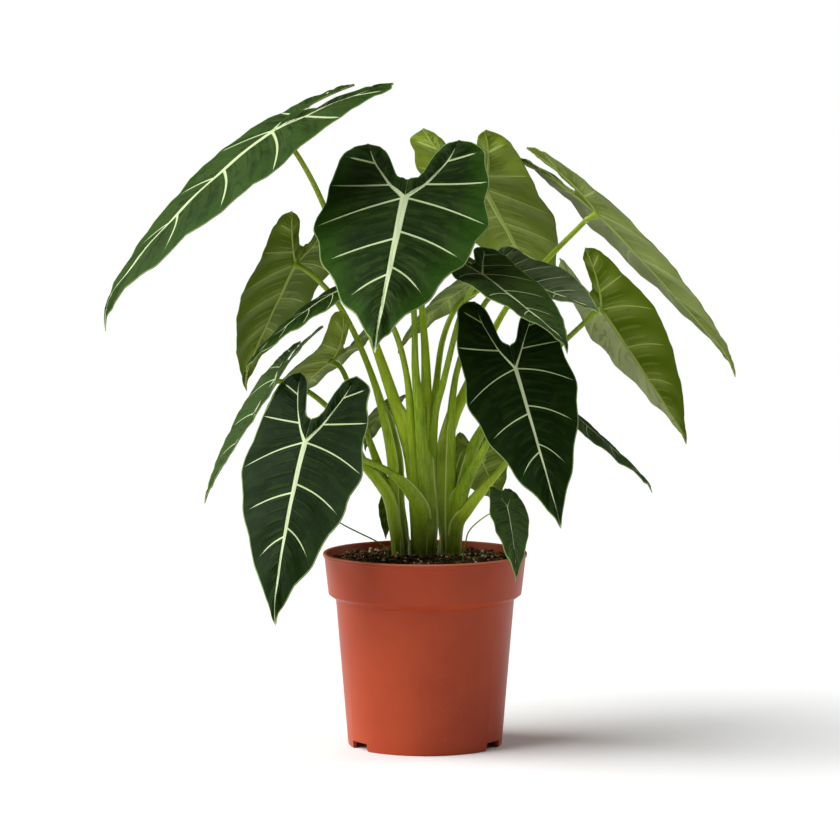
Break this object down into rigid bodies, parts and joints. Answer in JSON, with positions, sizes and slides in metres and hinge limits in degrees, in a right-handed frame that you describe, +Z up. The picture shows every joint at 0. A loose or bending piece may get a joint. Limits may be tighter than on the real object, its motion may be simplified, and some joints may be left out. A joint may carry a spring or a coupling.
{
  "type": "potted alocasia",
  "caption": "Live alocasia plant with dark heart-shaped pale-veined leaves on long petioles, in a round terracotta-coloured plastic nursery pot filled with soil.",
  "frame": {"origin": "on the floor under the middle of the plant, which is the pot's axis", "axes": "+Z up along the pot's axis; -Y is the front that the large dark leaves face; +X is to the right as seen from the front"},
  "size_m": [0.5264, 0.3135, 0.5506],
  "materials": {
    "pot_plastic": "satin terracotta-coloured moulded plastic",
    "soil": "loose dark potting mix of peat and wood fibre with pale grains",
    "petiole": "smooth waxy fleshy green stalk",
    "blade": "velvety dark green leaf with pale veins, lighter and duller beneath"
  },
  "bodies": {
    "root": {"pot": "pot_plastic", "soil": "soil", "shoot_left": "petiole", "shoot_middle": "petiole", "shoot_right": "petiole", "shoot_small_right": "petiole", "shoot_small_left": "petiole", "leaf_front_top": "blade", "leaf_far_left": "blade", "leaf_upper_left": "blade", "leaf_left_folded": "blade", "leaf_left_back": "blade", "leaf_left_low_narrow": "blade", "leaf_front_left": "blade", "leaf_small_behind_left": "blade", "leaf_big_back": "blade", "leaf_far_right": "blade", "leaf_right_dark_front": "blade", "leaf_right_dark_back": "blade", "leaf_middle_back": "blade", "leaf_right_back": "blade", "leaf_front_right": "blade", "leaf_right_low_narrow": "blade", "leaf_small_over_rim": "blade", "leaf_small_right_back": "blade", "leaf_small_by_stems": "blade", "leaf_small_behind_front": "blade"}
  },
  "joints": []
}
